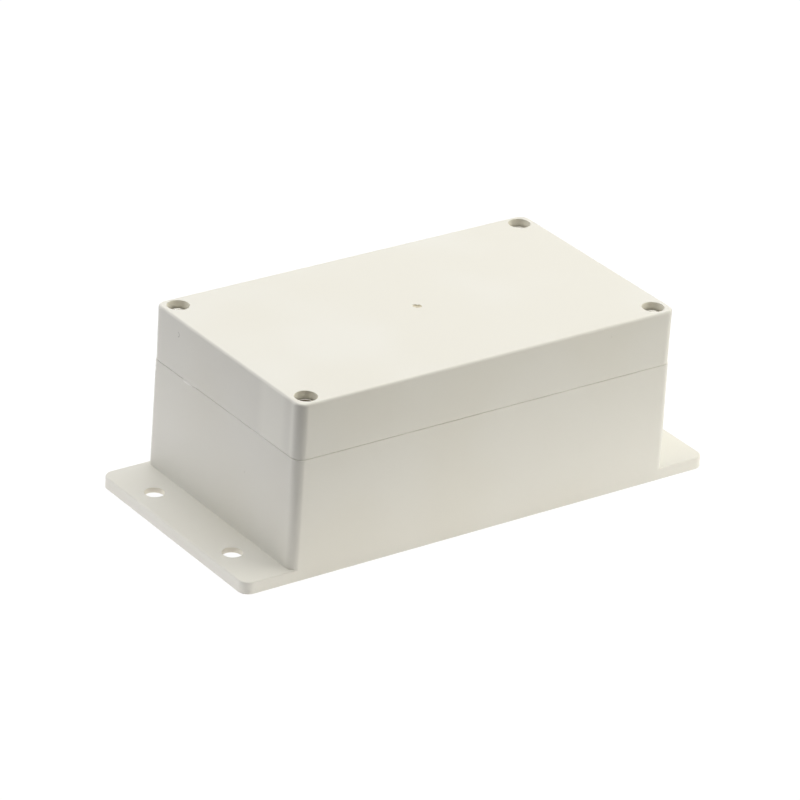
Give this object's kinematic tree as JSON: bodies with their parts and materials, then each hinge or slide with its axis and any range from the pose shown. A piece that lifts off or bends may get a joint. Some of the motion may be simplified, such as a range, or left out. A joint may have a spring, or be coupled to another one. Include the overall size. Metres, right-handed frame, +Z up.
{
  "type": "plastic enclosure",
  "caption": "Flanged rectangular wall box in light grey plastic, with a gasketed lid held by sunk corner screws, for electronics.",
  "frame": {"origin": "centre of the flat mounting face under the base", "axes": "+X along the long side and the flange tabs, +Y across the width, +Z up through the lid"},
  "size_m": [0.1964, 0.0916, 0.0665],
  "materials": {
    "housing": "satin moulded light grey, very fine grain",
    "seal": "soft black sealing strip",
    "screw_steel": "zinc-plated, slightly dull",
    "insert_brass": "turned, knurled outside"
  },
  "bodies": {
    "base": {"base": "housing", "threaded_insert_front_left": "insert_brass", "threaded_insert_front_right": "insert_brass", "threaded_insert_rear_left": "insert_brass", "threaded_insert_rear_right": "insert_brass"},
    "lid": {"lid": "housing", "gasket": "seal"},
    "screw_front_left": {"lid_screw_front_left": "screw_steel"},
    "screw_front_right": {"lid_screw_front_right": "screw_steel"},
    "screw_rear_left": {"lid_screw_rear_left": "screw_steel"},
    "screw_rear_right": {"lid_screw_rear_right": "screw_steel"}
  },
  "joints": [
    {"name": "lid_lift", "type": "slide", "parent": "base", "child": "lid", "axis": [0, 0, 1], "range_m": [0, 0.08]},
    {"name": "screw_front_left_out", "type": "slide", "parent": "lid", "child": "screw_front_left", "axis": [0, 0, 1], "range_m": [0, 0.035]},
    {"name": "screw_front_right_out", "type": "slide", "parent": "lid", "child": "screw_front_right", "axis": [0, 0, 1], "range_m": [0, 0.035]},
    {"name": "screw_rear_left_out", "type": "slide", "parent": "lid", "child": "screw_rear_left", "axis": [0, 0, 1], "range_m": [0, 0.035]},
    {"name": "screw_rear_right_out", "type": "slide", "parent": "lid", "child": "screw_rear_right", "axis": [0, 0, 1], "range_m": [0, 0.035]}
  ]
}
